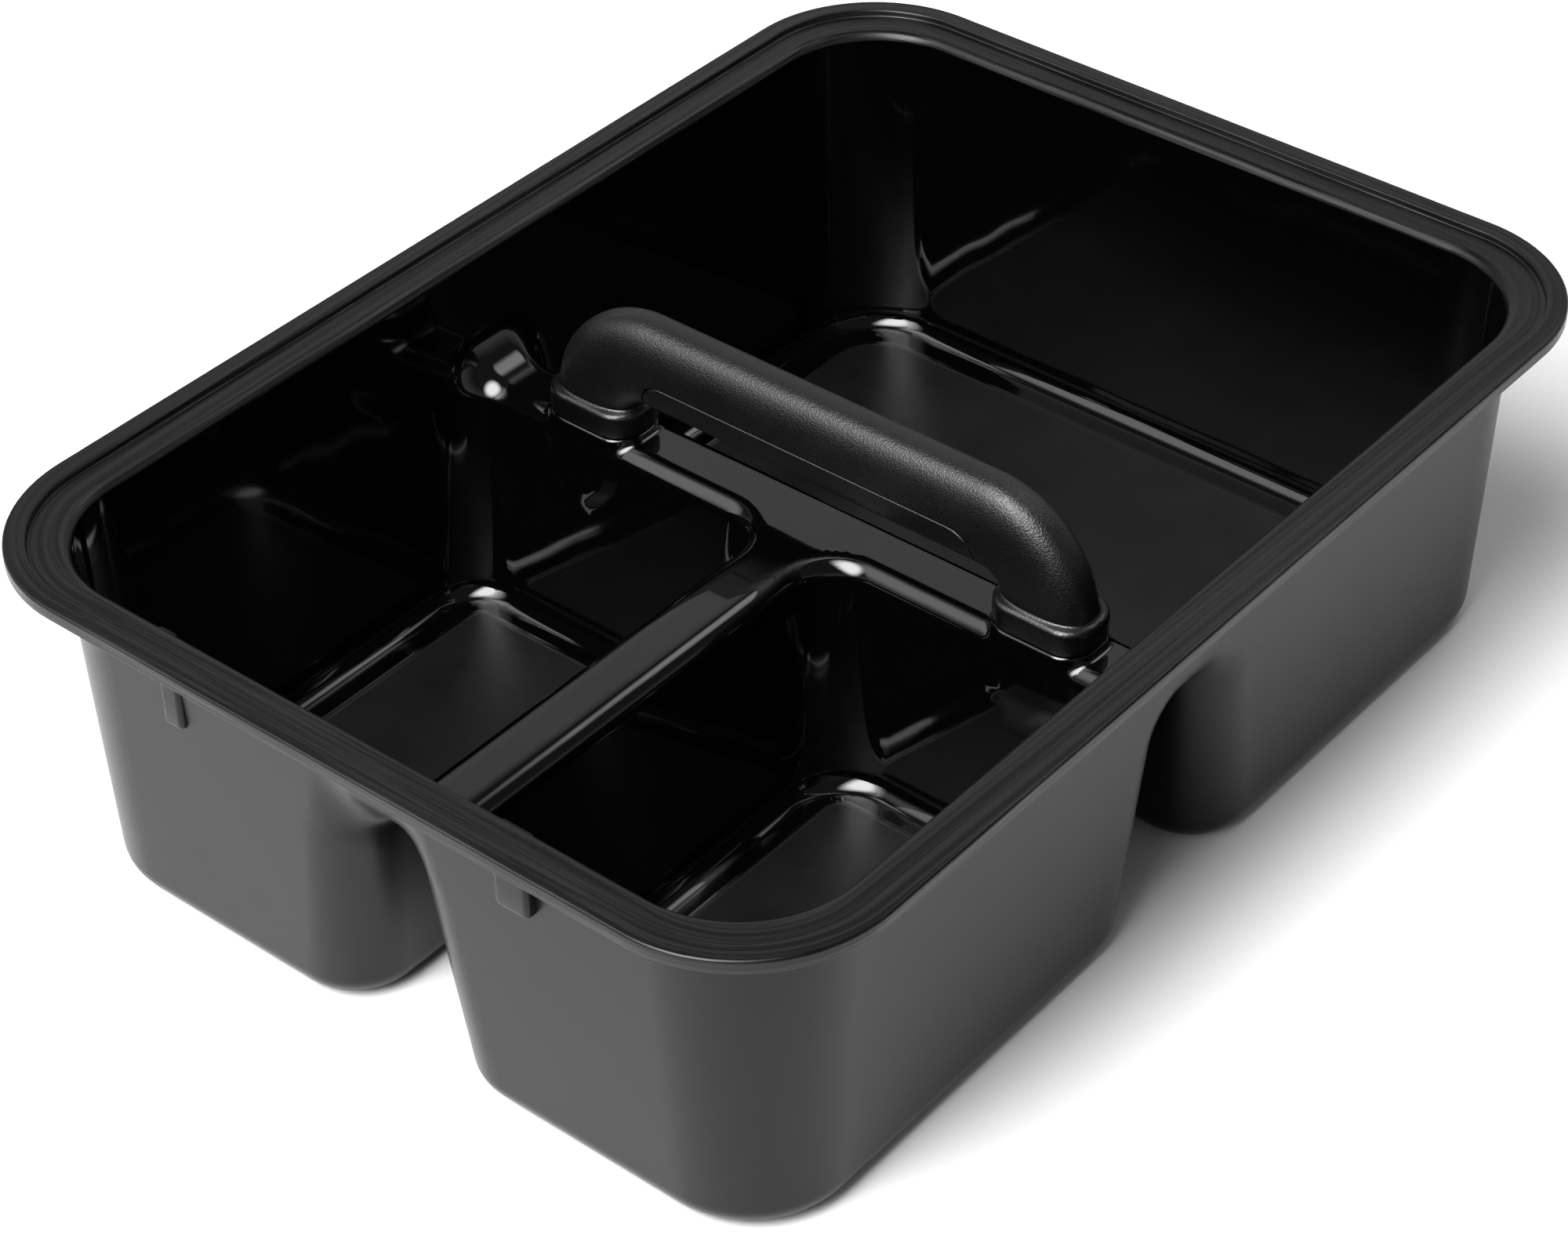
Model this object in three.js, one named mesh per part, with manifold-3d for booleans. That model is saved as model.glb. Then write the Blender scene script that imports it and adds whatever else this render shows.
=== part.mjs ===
// Three-compartment carry caddy: one moulded tub with a rim flange and T-shaped hollow partitions, and a
// fixed carrying handle screwed down on two bosses of the cross partition.
// Millimetres, +Z up, origin on the ground under the centre of the tub.
// +X runs along the tub to the large compartment, the two small compartments lie towards -X.

import * as THREE from 'three';
import { mergeVertices } from 'three/addons/utils/BufferGeometryUtils.js';
import Module from 'manifold-3d';

const wasm = await Module();
wasm.setup();

// ---- driving dimensions ----

const LENGTH = 380;
const WIDTH = 280.5;
const RIM_Z = 110.5;
const WALL = 2.5;
const GAP = 0.3;

// rim flange, measured inwards from its outer edge
const RIM_CORNER = 44.2;
const LIP_DEPTH = 4;
const LIP_SKIN = 2;
const LIP_CHAMFER = 0.6;
const LAND = 5.8;
const SHELF_DROP = 2;
const MOUTH_ROUND = 3;
const MOUTH_START_Z = RIM_Z - SHELF_DROP - MOUTH_ROUND;

// outside of the drafted tub wall
const WALL_INSET = 12.6;
const WALL_DRAFT = 0.046;
const WALL_CORNER_TOP = 36.5;
const WALL_CORNER_FOOT = 29.4;
const FOOT_FILLET = 8.2;

// T-shaped partitions, half widths
const PARTITION_Z = 70.9;
const PARTITION_FLAT = 5.4;
const PARTITION_ROUND = 5.5;
const PARTITION_DRAFT = 0.11;
const POD_CORNER_TOP = 14.5;
const POD_CORNER_FOOT = 21;
const POD_WALL_CORNER_FOOT = 16.5;
// radii of the sweeps from the partition tops up into the long walls and the short wall
const SADDLE_LONG = 14.6;
const SADDLE_SHORT = 25;
const SADDLE_REACH = 50;

// handle bosses on the cross partition
const BOSS_Z = 72.5;
const BOSS_HOLLOW_DEPTH = 14;
const BOSS_HOLLOW_REACH = 24;
// depth below the top, half size along X, half size along Y, corner radius
const BOSS_PROFILE = [
  [0, 10, 15.4, 8.4], [0.8, 10.6, 16, 9], [6, 11.6, 17, 9.5], [12, 12.6, 17.8, 10],
  [17, 13, 16.5, 10], [21, 12.9, 13, 9], [24, 12.4, 8, 7],
];

// stacking ribs under the flange on the short wall at -X
const RIB_TOP = RIM_Z - LIP_DEPTH + 1;
const RIB_CHAMFER = 0.8;
const RIBS = [
  { y: 68.4, width: 7, depth: 1.8, foot: 77 },
  { y: -50.6, width: 11, depth: 3.4, foot: 82.4 },
];

// handle: an oval bar bent down at both ends
const HANDLE_AXIS_Z = 98.9;
const HANDLE_HALF_X = 8.2;
const HANDLE_HALF_Z = 13.9;
const HANDLE_SQUARENESS = 2.6;
const HANDLE_LEG_Y = 79;
const HANDLE_BEND = 20.5;
const HANDLE_SKIN = 2.6;
const SECTION_POINTS = 32;

// grip insert closing the underside of the straight grip
const INSERT_TOP_Z = 96.3;
const INSERT_HALF_Y = 58;
const INSERT_CORNER = 8;

// collar ring around each leg
const COLLAR_HEIGHT = 8.6;
const COLLAR_BULGE = 2.3;
const COLLAR_CORNER = 9;

// screws up through the boss into the leg
const SCREW_SPREAD = 7;
const SCREW_RADIUS = 2;
const SCREW_LENGTH = 16;
const SCREW_HEAD_RADIUS = 4;
const SCREW_HEAD_HEIGHT = 2.6;
const PILLAR_RADIUS = 4;

// lengths that only make cutting shapes overlap what they cut
const SLACK = 0.05;
const OVERSHOOT = 5;
const PAST_WALL = 8;

// ---- materials ----

const tubPlastic = new THREE.MeshStandardMaterial({ color: 0x141415, roughness: 0.18, metalness: 0 });
const handlePlastic = new THREE.MeshStandardMaterial({ color: 0x17171a, roughness: 0.5, metalness: 0 });
const insertPlastic = new THREE.MeshStandardMaterial({ color: 0x151517, roughness: 0.6, metalness: 0 });
const zincSteel = new THREE.MeshStandardMaterial({ color: 0xb9bdc2, roughness: 0.35, metalness: 1 });

// ---- solids from three.js geometry ----

function solid(geometry) {
  geometry.deleteAttribute('normal');
  geometry.deleteAttribute('uv');
  const merged = mergeVertices(geometry, 1e-4);
  return new wasm.Manifold(new wasm.Mesh({
    numProp: 3,
    vertProperties: new Float32Array(merged.attributes.position.array),
    triVerts: new Uint32Array(merged.index.array),
  }));
}

function meshOf(name, body, material) {
  const data = body.getMesh();
  const geometry = new THREE.BufferGeometry();
  geometry.setAttribute('position', new THREE.BufferAttribute(new Float32Array(data.vertProperties), 3));
  geometry.setIndex(new THREE.BufferAttribute(new Uint32Array(data.triVerts), 1));
  geometry.computeVertexNormals();
  const mesh = new THREE.Mesh(geometry, material);
  mesh.name = name;
  return mesh;
}

function union(bodies) {
  return bodies.reduce((all, body) => all.add(body));
}

// Closed solid through rings of points, each ring with the same number of points and closed end caps.
function skin(rings) {
  const count = rings[0].length;
  const index = [];
  for (let k = 0; k < rings.length - 1; k += 1) {
    for (let i = 0; i < count; i += 1) {
      const a = k * count + i;
      const b = k * count + ((i + 1) % count);
      index.push(a, b, b + count, a, b + count, a + count);
    }
  }
  const top = (rings.length - 1) * count;
  for (let i = 1; i < count - 1; i += 1) {
    index.push(0, i + 1, i);
    index.push(top, top + i, top + i + 1);
  }
  const geometry = new THREE.BufferGeometry();
  geometry.setAttribute('position', new THREE.Float32BufferAttribute(rings.flat(2), 3));
  geometry.setIndex(index);
  return solid(geometry);
}

// Level outlines, listed from the lowest up.
function loft(layers) {
  return skin(layers.map(({ z, outline }) => outline.map(([x, y]) => [x, y, z])));
}

// Rounded rectangle in plan, starting at its +X side.
function roundedBox(halfX, halfY, radius, steps = 6) {
  const corners = [[1, 1], [-1, 1], [-1, -1], [1, -1]];
  return corners.flatMap(([sx, sy], quarter) => Array.from({ length: steps + 1 }, (_, i) => {
    const angle = (quarter + i / steps) * Math.PI / 2;
    const x = sx * (halfX - radius) + radius * Math.cos(angle);
    return [x, sy * (halfY - radius) + radius * Math.sin(angle)];
  }));
}

function insetRim(inset, radius = RIM_CORNER - inset) {
  return roundedBox(LENGTH / 2 - inset, WIDTH / 2 - inset, radius, 8);
}

// A flat outline in a vertical plane, pushed through the body along X or Y.
function slab(points, along, from, to) {
  const shape = new THREE.Shape(points.map(([u, z]) => new THREE.Vector2(u, z)));
  const geometry = new THREE.ExtrudeGeometry(shape, { depth: to - from, bevelEnabled: false });
  const up = new THREE.Vector3(0, 0, 1);
  const push = along === 'x' ? new THREE.Vector3(1, 0, 0) : new THREE.Vector3(0, 1, 0);
  const across = new THREE.Vector3().crossVectors(up, push);
  geometry.applyMatrix4(new THREE.Matrix4().makeBasis(across, up, push));
  if (along === 'x') {
    geometry.translate(from, 0, 0);
  } else {
    geometry.translate(0, from, 0);
  }
  return solid(geometry);
}

function block(x0, x1, y0, y1, z0, z1) {
  const geometry = new THREE.BoxGeometry(x1 - x0, y1 - y0, z1 - z0);
  geometry.translate((x0 + x1) / 2, (y0 + y1) / 2, (z0 + z1) / 2);
  return solid(geometry);
}

function upright(radius, x, y, z0, z1, sides = 16) {
  const geometry = new THREE.CylinderGeometry(radius, radius, z1 - z0, sides);
  geometry.rotateX(Math.PI / 2);
  geometry.translate(x, y, (z0 + z1) / 2);
  return solid(geometry);
}

// ---- tub: every profile takes the skin it describes, 0 for the cavity side and WALL for the outside ----

const footZ = (skin) => WALL - skin;
const footRadius = (skin) => FOOT_FILLET - WALL + skin;

function filletInset(z, skin) {
  const radius = footRadius(skin);
  const rise = Math.min(Math.max(z - footZ(skin), 0), radius);
  return radius - Math.sqrt(radius ** 2 - (radius - rise) ** 2);
}

// Rounding of the mouth from the wall out to the shelf, on the cavity side only.
function mouthWidening(z, skin) {
  const rise = Math.min(Math.max(z - MOUTH_START_Z, 0), MOUTH_ROUND);
  return skin > 0 ? 0 : MOUTH_ROUND - Math.sqrt(MOUTH_ROUND ** 2 - rise ** 2);
}

function wallInset(z, skin) {
  const depth = RIM_Z - (skin > 0 ? z : Math.min(z, MOUTH_START_Z));
  return WALL_INSET + WALL_DRAFT * depth + WALL - skin + filletInset(z, skin) - mouthWidening(z, skin);
}

function wallCorner(z, skin) {
  const share = (RIM_Z - z) / RIM_Z;
  const outside = THREE.MathUtils.lerp(WALL_CORNER_TOP, WALL_CORNER_FOOT, share);
  return outside - WALL + skin - filletInset(z, skin) + mouthWidening(z, skin);
}

function partitionHalf(z, skin) {
  const shoulder = PARTITION_Z - PARTITION_ROUND;
  const radius = PARTITION_ROUND - skin;
  if (z <= shoulder) {
    return PARTITION_FLAT + radius + PARTITION_DRAFT * (shoulder - z) + filletInset(z, skin);
  }
  const rise = Math.min(z - shoulder, radius);
  return PARTITION_FLAT + Math.sqrt(radius ** 2 - rise ** 2);
}

// Plan radius of a compartment corner at a partition, wider again over the rounded partition edge.
function podCorner(z, skin, foot) {
  const shoulder = PARTITION_Z - PARTITION_ROUND;
  const share = Math.min(Math.max((shoulder - z) / shoulder, 0), 1);
  const edge = z > shoulder ? partitionHalf(shoulder, skin) - partitionHalf(z, skin) : 0;
  const corner = THREE.MathUtils.lerp(POD_CORNER_TOP, foot, share);
  return corner + skin + edge - filletInset(z, skin);
}

const QUARTER = [0, 0.2, 0.4, 0.6, 0.8, 1].map((share) => share * Math.PI / 2);

function footLevels(skin) {
  return QUARTER.map((angle) => footZ(skin) + footRadius(skin) * (1 - Math.cos(angle)));
}

// Inside or outside of the whole tub, without its partitions.
function wallBody(skin) {
  const mouth = QUARTER.map((angle) => MOUTH_START_Z + MOUTH_ROUND * Math.sin(angle));
  const levels = [...footLevels(skin), ...(skin > 0 ? [RIM_Z - LIP_DEPTH + 1] : [...mouth, RIM_Z + 1])];
  return loft(levels.map((z) => ({ z, outline: insetRim(wallInset(z, skin), wallCorner(z, skin)) })));
}

// Quarter turn from one direction to the next, angles in quarter turns.
function arc(x, y, radius, from) {
  return Array.from({ length: 7 }, (_, i) => {
    const angle = (from + i / 6) * Math.PI / 2;
    return [x + radius * Math.cos(angle), y + radius * Math.sin(angle)];
  });
}

// The three compartments as solids that reach past the tub walls, rounded where partitions meet a wall.
function pods(skin) {
  const shoulder = PARTITION_Z - PARTITION_ROUND;
  const edge = QUARTER.slice(1).map((angle) => shoulder + (PARTITION_ROUND - skin) * Math.sin(angle));
  const levels = [...footLevels(skin), shoulder, ...edge, RIM_Z - 8];
  const pod = (outlineAt) => {
    const layers = levels.map((z) => {
      const wallX = LENGTH / 2 - wallInset(z, skin) + SLACK;
      const wallY = WIDTH / 2 - wallInset(z, skin) + SLACK;
      const tee = podCorner(z, skin, POD_CORNER_FOOT);
      const end = podCorner(z, skin, POD_WALL_CORNER_FOOT);
      return { z, outline: outlineAt(partitionHalf(z, skin), end, tee, wallX, wallY) };
    });
    return loft([{ z: layers[0].z - 1, outline: layers[0].outline }, ...layers]);
  };
  const large = pod((half, r, tee, wallX, wallY) => {
    const [pastX, pastY] = [wallX + PAST_WALL, wallY + PAST_WALL];
    return [[pastX, pastY], [half + r, pastY], ...arc(half + r, wallY - r, r, 1),
      ...arc(half + r, r - wallY, r, 2), [half + r, -pastY], [pastX, -pastY]];
  });
  const far = pod((half, r, tee, wallX, wallY) => {
    const [pastX, pastY] = [wallX + PAST_WALL, wallY + PAST_WALL];
    return [...arc(-half - r, wallY - r, r, 0), [-half - r, pastY], [-pastX, pastY], [-pastX, half + r],
      ...arc(r - wallX, half + r, r, 2), ...arc(-half - tee, half + tee, tee, 3)];
  });
  const near = far.mirror([0, 1, 0]);
  return union([large, far, near]);
}

// Outline outside the arc where a partition top sweeps up into the wall, u pointing out of the tub.
function saddleOutline(wallAt, radius, skin) {
  const centreZ = PARTITION_Z + radius;
  const centreU = wallAt - wallInset(centreZ, 0) - radius + SLACK;
  const reach = radius + skin;
  const outer = centreU + reach + 2 * PAST_WALL;
  const low = centreZ - reach - OVERSHOOT;
  const arc = Array.from({ length: 9 }, (_, i) => {
    const angle = -Math.PI / 2 + (i / 8) * Math.PI / 2;
    return [centreU + reach * Math.cos(angle), centreZ + reach * Math.sin(angle)];
  });
  return [...arc, [outer, centreZ], [outer, low], [centreU, low]];
}

// Everything below the partition tops, with the sweeps into both long walls and the near short wall.
function belowPartitions(skin) {
  const flip = (points) => points.map(([u, z]) => [-u, z]).reverse();
  const longSide = saddleOutline(WIDTH / 2, SADDLE_LONG, skin);
  const shortSide = saddleOutline(LENGTH / 2, SADDLE_SHORT, skin);
  return union([
    block(-LENGTH, LENGTH, -WIDTH, WIDTH, -OVERSHOOT, PARTITION_Z - skin),
    slab(longSide, 'x', -SADDLE_REACH, SADDLE_REACH),
    slab(flip(longSide), 'x', -SADDLE_REACH, SADDLE_REACH),
    slab(shortSide, 'y', -SADDLE_REACH, SADDLE_REACH),
  ]);
}

// Solid T of the partitions: inside the cavity for skin 0, the open channel underneath for skin WALL.
const partitions = (skin) => belowPartitions(skin).subtract(pods(skin));

function flange() {
  return loft([
    { z: RIM_Z - LIP_DEPTH, outline: insetRim(0) },
    { z: RIM_Z - LIP_CHAMFER, outline: insetRim(0) },
    { z: RIM_Z, outline: insetRim(LIP_CHAMFER) },
  ]);
}

// Step down from the land to the shelf.
function shelfRecess() {
  const outline = insetRim(LAND);
  return loft([{ z: RIM_Z - SHELF_DROP, outline }, { z: RIM_Z + 1, outline }]);
}

// Groove under the land, between the hanging lip and the step down to the shelf.
function lipGroove() {
  const low = RIM_Z - LIP_DEPTH - 1;
  const high = RIM_Z - LIP_SKIN;
  const ring = (inset) => loft([{ z: low, outline: insetRim(inset) }, { z: high, outline: insetRim(inset) }]);
  return ring(LIP_SKIN).subtract(ring(LAND - LIP_SKIN + 0.5));
}

// Rounded block that grows out of the partition flanks and fades into them in a U further down.
function boss(side) {
  const layers = BOSS_PROFILE.map(([depth, halfX, halfY, radius]) => (
    { z: BOSS_Z - depth, outline: roundedBox(halfX, halfY, radius, 6) }));
  return loft(layers.reverse()).translate([0, side * HANDLE_LEG_Y, 0]);
}

function bossHollow(side) {
  const [, halfX, halfY, radius] = BOSS_PROFILE[0];
  const outline = roundedBox(halfX - WALL, halfY - WALL, radius - WALL, 5);
  const hollow = loft([{ z: BOSS_Z - BOSS_HOLLOW_DEPTH, outline }, { z: BOSS_Z - WALL, outline }]);
  return hollow.translate([0, side * HANDLE_LEG_Y, 0]);
}

// The open channel under the cross partition, used to clear the boss material out of it.
function channelCore() {
  const low = partitionHalf(footRadius(WALL), WALL);
  const shoulder = PARTITION_Z - PARTITION_ROUND;
  const high = partitionHalf(shoulder, WALL);
  const outline = [[-low, -1], [low, -1], [high, shoulder], [-high, shoulder]];
  const reach = HANDLE_LEG_Y + BOSS_HOLLOW_REACH;
  return slab(outline, 'y', -reach, reach);
}

function stackingRib({ y, width, depth, foot }) {
  const wall = LENGTH / 2 - wallInset(foot, WALL);
  const front = wall + depth;
  const outline = [[wall - 1, foot], [front - RIB_CHAMFER, foot], [front, foot + RIB_CHAMFER],
    [front, RIB_TOP], [wall - 1, RIB_TOP]];
  return slab(outline, 'y', y - width / 2, y + width / 2);
}

function screwPlaces() {
  return [-1, 1].flatMap((side) => [-1, 1].map((step) => side * HANDLE_LEG_Y + step * SCREW_SPREAD));
}

function makeTub() {
  const bosses = union([boss(-1), boss(1)]);
  const ribs = RIBS.map(stackingRib);
  const outside = union([wallBody(WALL).subtract(partitions(WALL)), flange(), bosses, ...ribs]);
  const cavity = wallBody(0).subtract(partitions(0)).subtract(bosses).add(shelfRecess());
  const holes = screwPlaces().map((y) => upright(SCREW_RADIUS + GAP, 0, y, BOSS_Z - WALL - 2, BOSS_Z + 2));
  const cuts = union([cavity, bossHollow(-1), bossHollow(1), channelCore(), lipGroove(), ...holes]);
  return outside.subtract(cuts);
}

// ---- handle ----

// Centre line from one boss up, across and down to the other, with the direction across the bar.
function handlePath() {
  const bendY = HANDLE_LEG_Y - HANDLE_BEND;
  const bendZ = HANDLE_AXIS_Z - HANDLE_BEND;
  const bend = (side) => Array.from({ length: 11 }, (_, i) => {
    const angle = (i / 10) * Math.PI / 2;
    const outY = side * Math.cos(angle);
    const outZ = Math.sin(angle);
    return { y: side * bendY + HANDLE_BEND * outY, z: bendZ + HANDLE_BEND * outZ, outY, outZ };
  });
  const foot = (side) => ({ y: side * HANDLE_LEG_Y, z: BOSS_Z + GAP, outY: side, outZ: 0 });
  return [foot(-1), ...bend(-1), ...bend(1).reverse(), foot(1)];
}

// Oval bar along the handle, its section grown or shrunk by the given offset.
function bar(offset, overshoot = 0) {
  const power = 2 / HANDLE_SQUARENESS;
  const rings = handlePath().map(({ y, z, outY, outZ }, station, all) => {
    const isEnd = station === 0 || station === all.length - 1;
    return Array.from({ length: SECTION_POINTS }, (_, i) => {
      const angle = -(i / SECTION_POINTS) * 2 * Math.PI;
      const [c, s] = [Math.cos(angle), Math.sin(angle)];
      const across = (HANDLE_HALF_X + offset) * Math.sign(c) * Math.abs(c) ** power;
      const out = (HANDLE_HALF_Z + offset) * Math.sign(s) * Math.abs(s) ** power;
      return [across, y + outY * out, z + outZ * out - (isEnd ? overshoot : 0)];
    });
  });
  return skin(rings);
}

// Straight part of the grip below a seam line with rounded ends.
function insertZone(gap) {
  const half = INSERT_HALF_Y + gap;
  const top = INSERT_TOP_Z + gap;
  const corner = (side) => Array.from({ length: 7 }, (_, i) => {
    const angle = (i / 6) * Math.PI / 2;
    const y = half - INSERT_CORNER + INSERT_CORNER * Math.cos(angle);
    return [side * y, top - INSERT_CORNER + INSERT_CORNER * Math.sin(angle)];
  });
  const outline = [[-half, PARTITION_Z], [half, PARTITION_Z], ...corner(1), ...corner(-1).reverse()];
  return slab(outline, 'x', -HANDLE_HALF_X - 5, HANDLE_HALF_X + 5);
}

// Rib with a screw pillar inside the hollow leg.
function pillar(y) {
  const low = BOSS_Z + GAP;
  const high = low + SCREW_LENGTH;
  const reach = HANDLE_HALF_X - 1;
  return upright(PILLAR_RADIUS, 0, y, low, high).add(block(-reach, reach, y - 1.2, y + 1.2, low, high));
}

function makeHandleBody() {
  const pillars = screwPlaces().map((y) => pillar(y));
  const pilots = screwPlaces().map((y) => (
    upright(SCREW_RADIUS + GAP, 0, y, BOSS_Z - 1, BOSS_Z + SCREW_LENGTH - 1)));
  const shell = bar(0).subtract(bar(-HANDLE_SKIN, OVERSHOOT)).subtract(insertZone(GAP));
  const ribs = union(pillars).intersect(bar(-0.5));
  return shell.add(ribs).subtract(union(pilots));
}

function makeGripInsert() {
  return bar(0).intersect(insertZone(0)).subtract(bar(-HANDLE_SKIN, OVERSHOOT));
}

function makeCollar(side) {
  const steps = [
    [0, 1.6], [0.5, 2.2], [COLLAR_HEIGHT - 3, COLLAR_BULGE],
    [COLLAR_HEIGHT - 1.2, 1.9], [COLLAR_HEIGHT - 0.3, 1.2], [COLLAR_HEIGHT, 0.8],
  ];
  const layers = steps.map(([rise, bulge]) => {
    const corner = COLLAR_CORNER - COLLAR_BULGE + bulge;
    const outline = roundedBox(HANDLE_HALF_X + bulge, HANDLE_HALF_Z + bulge, corner, 7);
    return { z: BOSS_Z + GAP + rise, outline };
  });
  return loft(layers).translate([0, side * HANDLE_LEG_Y, 0]).subtract(bar(GAP, OVERSHOOT));
}

// ---- screws ----

function makeScrew(y) {
  const head = BOSS_Z - WALL - GAP;
  const tip = head + SCREW_LENGTH;
  const low = head - SCREW_HEAD_HEIGHT;
  const profile = [
    [0, low + 1.4], [0.9, low + 1.4], [1.5, low],
    [2.6, low], [SCREW_HEAD_RADIUS, head - 1], [SCREW_HEAD_RADIUS, head],
    [SCREW_RADIUS, head], [SCREW_RADIUS, tip - 2], [0.6, tip - 0.4], [0, tip],
  ];
  const geometry = new THREE.LatheGeometry(profile.map(([r, z]) => new THREE.Vector2(r, z)), 16);
  geometry.rotateX(Math.PI / 2);
  geometry.translate(0, y, 0);
  return solid(geometry);
}

// ---- assembly ----

const caddy = new THREE.Group();
caddy.name = 'cleaning_caddy';
caddy.add(meshOf('tub', makeTub(), tubPlastic));
caddy.add(meshOf('handle_body', makeHandleBody(), handlePlastic));
caddy.add(meshOf('grip_insert', makeGripInsert(), insertPlastic));
caddy.add(meshOf('collar_near', makeCollar(-1), handlePlastic));
caddy.add(meshOf('collar_far', makeCollar(1), handlePlastic));
['near_outer', 'near_inner', 'far_inner', 'far_outer'].forEach((place, i) => {
  caddy.add(meshOf(`screw_${place}`, makeScrew(screwPlaces()[i]), zincSteel));
});

export default caddy;
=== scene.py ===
"""Looks of the cleaning caddy: smooth moulded shells, grained handle, materials, studio light and camera.

Shapes are written in millimetres in the part's own frame: origin on the ground under the middle of
the tub, +X along the tub to the large compartment, +Z up. Meshes are scaled to metres when they are made.
"""

import math

import bpy
import numpy as np
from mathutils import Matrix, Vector


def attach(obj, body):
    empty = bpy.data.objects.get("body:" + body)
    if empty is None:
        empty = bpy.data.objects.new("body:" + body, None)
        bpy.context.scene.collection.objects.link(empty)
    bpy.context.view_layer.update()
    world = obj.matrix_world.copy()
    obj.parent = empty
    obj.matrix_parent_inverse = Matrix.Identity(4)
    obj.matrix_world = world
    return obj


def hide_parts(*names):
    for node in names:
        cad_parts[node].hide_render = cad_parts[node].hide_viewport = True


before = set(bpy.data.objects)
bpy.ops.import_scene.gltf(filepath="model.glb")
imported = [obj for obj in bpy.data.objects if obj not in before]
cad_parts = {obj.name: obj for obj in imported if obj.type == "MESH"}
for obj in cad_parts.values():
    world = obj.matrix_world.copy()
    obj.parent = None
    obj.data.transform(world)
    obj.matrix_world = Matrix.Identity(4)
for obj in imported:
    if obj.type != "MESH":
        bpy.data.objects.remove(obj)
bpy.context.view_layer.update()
MM = 0.001

# ---- sizes, the same as the solids ----

HALF_LENGTH, HALF_WIDTH, RIM_Z = 190.0, 140.25, 110.5
WALL = 2.5
RIM_CORNER = 44.2
LIP_DEPTH, LAND, SHELF_DROP, MOUTH_ROUND = 4.0, 5.8, 2.0, 3.0
WALL_INSET, WALL_DRAFT = 15.1, 0.046  # cavity side
WALL_CORNER_TOP, WALL_CORNER_FOOT = 34.0, 26.9
FLOOR_Z, FLOOR_FILLET = 2.5, 5.7
PARTITION_Z, PARTITION_ROUND, PARTITION_DRAFT = 70.9, 5.5, 0.11
PARTITION_SHOULDER = PARTITION_Z - PARTITION_ROUND
PARTITION_SIDE = 10.9
TEE_CORNER_TOP, TEE_CORNER_FOOT = 14.5, 21.0
END_CORNER_TOP, END_CORNER_FOOT = 14.6, 16.5
DRAFT_COSINE = 0.994  # of the slope of the partition's sides
SADDLE_SHORT = 25.0  # fillet of the partition's top at the short wall, faded in over the next sizes
SADDLE_X, SADDLE_RUN_X, SADDLE_Y, SADDLE_RUN_Y = 110.0, 30.0, 60.0, 20.0
SADDLE_DROP, SADDLE_BLEND = 12.0, 26.0
CORNER_RUN = 6.0  # past the land, over which the rim's corners turn into the wall's
STEP_FOOT, STEP_FILLET, STEP_TOP, STEP_ROUND = 0.9, 0.5, 0.25, 0.7  # between the shelf and the land
LIP_ROUND, LIP_FOOT_ROUND = 0.9, 0.4
GROOVE_START, GROOVE_END, GROOVE_DEPTH = 2.1, 4.3, 2.0  # in the underside of the lip
GROOVE_FILLET, GROOVE_EDGE = 0.4, 0.3
FLANGE_FILLET = 1.6
JOIN_INNER, JOIN_OUTER = 7.0, 8.0  # insets under the flange where the two sides of the skin meet
BOSS_Z, BOSS_ROUND, BOSS_FILLET = 72.5, 0.9, 1.6
BOSS_HEIGHTS = (48.5, 51.5, 55.5, 60.5, 66.5, 71.7, 72.5)
BOSS_HALF_X = (12.4, 12.9, 13.0, 12.6, 11.6, 10.7, 10.6)
BOSS_HALF_Y = (8.0, 13.0, 16.5, 17.8, 17.0, 16.1, 16.0)
BOSS_CORNER = (7.0, 9.0, 10.0, 10.0, 9.5, 9.0, 9.0)
LEG_Y = 79.0
SEAM_Z = 97.0  # the shells below this height meet the swept rim here


# ---- distance fields ----


def round_max(a, b, r):
    return np.minimum(-r, np.maximum(a, b)) + np.hypot(
        np.maximum(a + r, 0), np.maximum(b + r, 0)
    )


def round_min(a, b, r):
    return -round_max(-a, -b, r)


def rounded_box(x, y, half_x, half_y, r):
    qx = np.abs(x) - half_x + r
    qy = np.abs(y) - half_y + r
    return (
        np.hypot(np.maximum(qx, 0), np.maximum(qy, 0))
        + np.minimum(np.maximum(qx, qy), 0)
        - r
    )


def blend(low, high, share):
    return low + (high - low) * np.clip(share, 0, 1)


def smooth(share):
    t = np.clip(share, 0, 1)
    return t * t * (3 - 2 * t)


def wall_inset(z):
    return WALL_INSET + WALL_DRAFT * (RIM_Z - z)


def wall_corner(z):
    return blend(WALL_CORNER_TOP, WALL_CORNER_FOOT, (RIM_Z - z) / RIM_Z)


def boss_field(x, y, z):
    plan = rounded_box(
        x,
        np.abs(y) - LEG_Y,
        np.interp(z, BOSS_HEIGHTS, BOSS_HALF_X),
        np.interp(z, BOSS_HEIGHTS, BOSS_HALF_Y),
        np.interp(z, BOSS_HEIGHTS, BOSS_CORNER),
    )
    return round_max(np.maximum(plan, BOSS_HEIGHTS[0] - z), z - BOSS_Z, BOSS_ROUND)


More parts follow.
